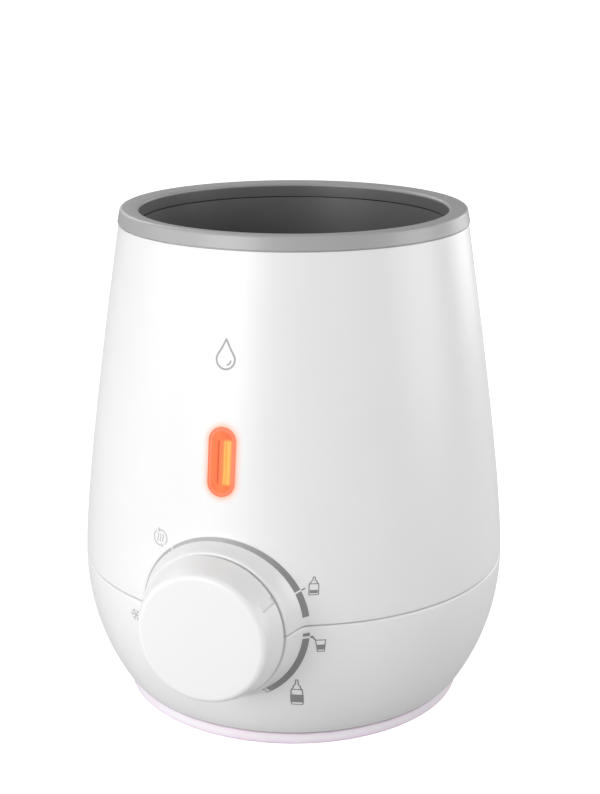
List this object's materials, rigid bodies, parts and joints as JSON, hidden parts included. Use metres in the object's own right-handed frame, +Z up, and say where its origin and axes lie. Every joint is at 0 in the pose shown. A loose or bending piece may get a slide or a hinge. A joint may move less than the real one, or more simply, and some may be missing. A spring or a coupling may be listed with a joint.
{
  "type": "bottle warmer",
  "caption": "Round tapered warmer with an open heated water well, a grey rim, a front thermostat knob and an oblong indicator window.",
  "frame": {"origin": "centre of the foot ring's flat underside, on the object's upright axis", "axes": "+Z up, -Y towards the dial and the window, +Y towards the cord gland"},
  "size_m": [0.128, 0.141, 0.148],
  "materials": {
    "housing": "satin white moulded plastic",
    "knob": "satin gloss white moulded plastic",
    "rim": "satin mid grey moulded plastic",
    "liner": "dark grey moulded plastic",
    "foot": "translucent soft plastic",
    "lens": "glowing orange translucent plastic",
    "inner_plastic": "plain moulded plastic",
    "steel": "plated steel",
    "heater": "satin aluminium",
    "brass": "turned brass",
    "seal": "silicone rubber",
    "board": "glass fibre board",
    "lamp": "clear glass lamp",
    "wire": "silicone wire insulation"
  },
  "bodies": {
    "warmer": {"foot_ring": "foot", "base_plate": "inner_plastic", "base_screws": "steel", "lower_housing": "housing", "upper_housing": "housing", "housing_screws": "steel", "top_ring": "rim", "well_liner": "liner", "plate_seal": "seal", "heater_plate": "heater", "plate_retainer": "steel", "retainer_screws": "steel", "heating_element": "steel", "element_clamp": "steel", "clamp_screws": "steel", "thermal_cutout": "inner_plastic", "thermostat_body": "inner_plastic", "thermostat_bracket": "steel", "thermostat_nut": "brass", "bracket_screws": "steel", "indicator_lens": "lens", "indicator_lamp": "lamp", "lamp_board": "board", "board_screws": "steel", "terminal_block": "inner_plastic", "terminal_screws": "brass", "cord_gland": "inner_plastic", "live_lead": "wire", "neutral_lead": "wire", "switched_lead": "wire", "element_lead": "wire", "earth_lead": "wire", "lamp_leads": "wire"},
    "dial": {"control_knob": "knob", "thermostat_spindle": "brass"}
  },
  "joints": [
    {"name": "dial_turn", "type": "hinge", "parent": "warmer", "child": "dial", "pos_m": [0, -0.0681, 0.043], "axis": [0, -1, 0], "range_deg": [-84, 163]}
  ]
}
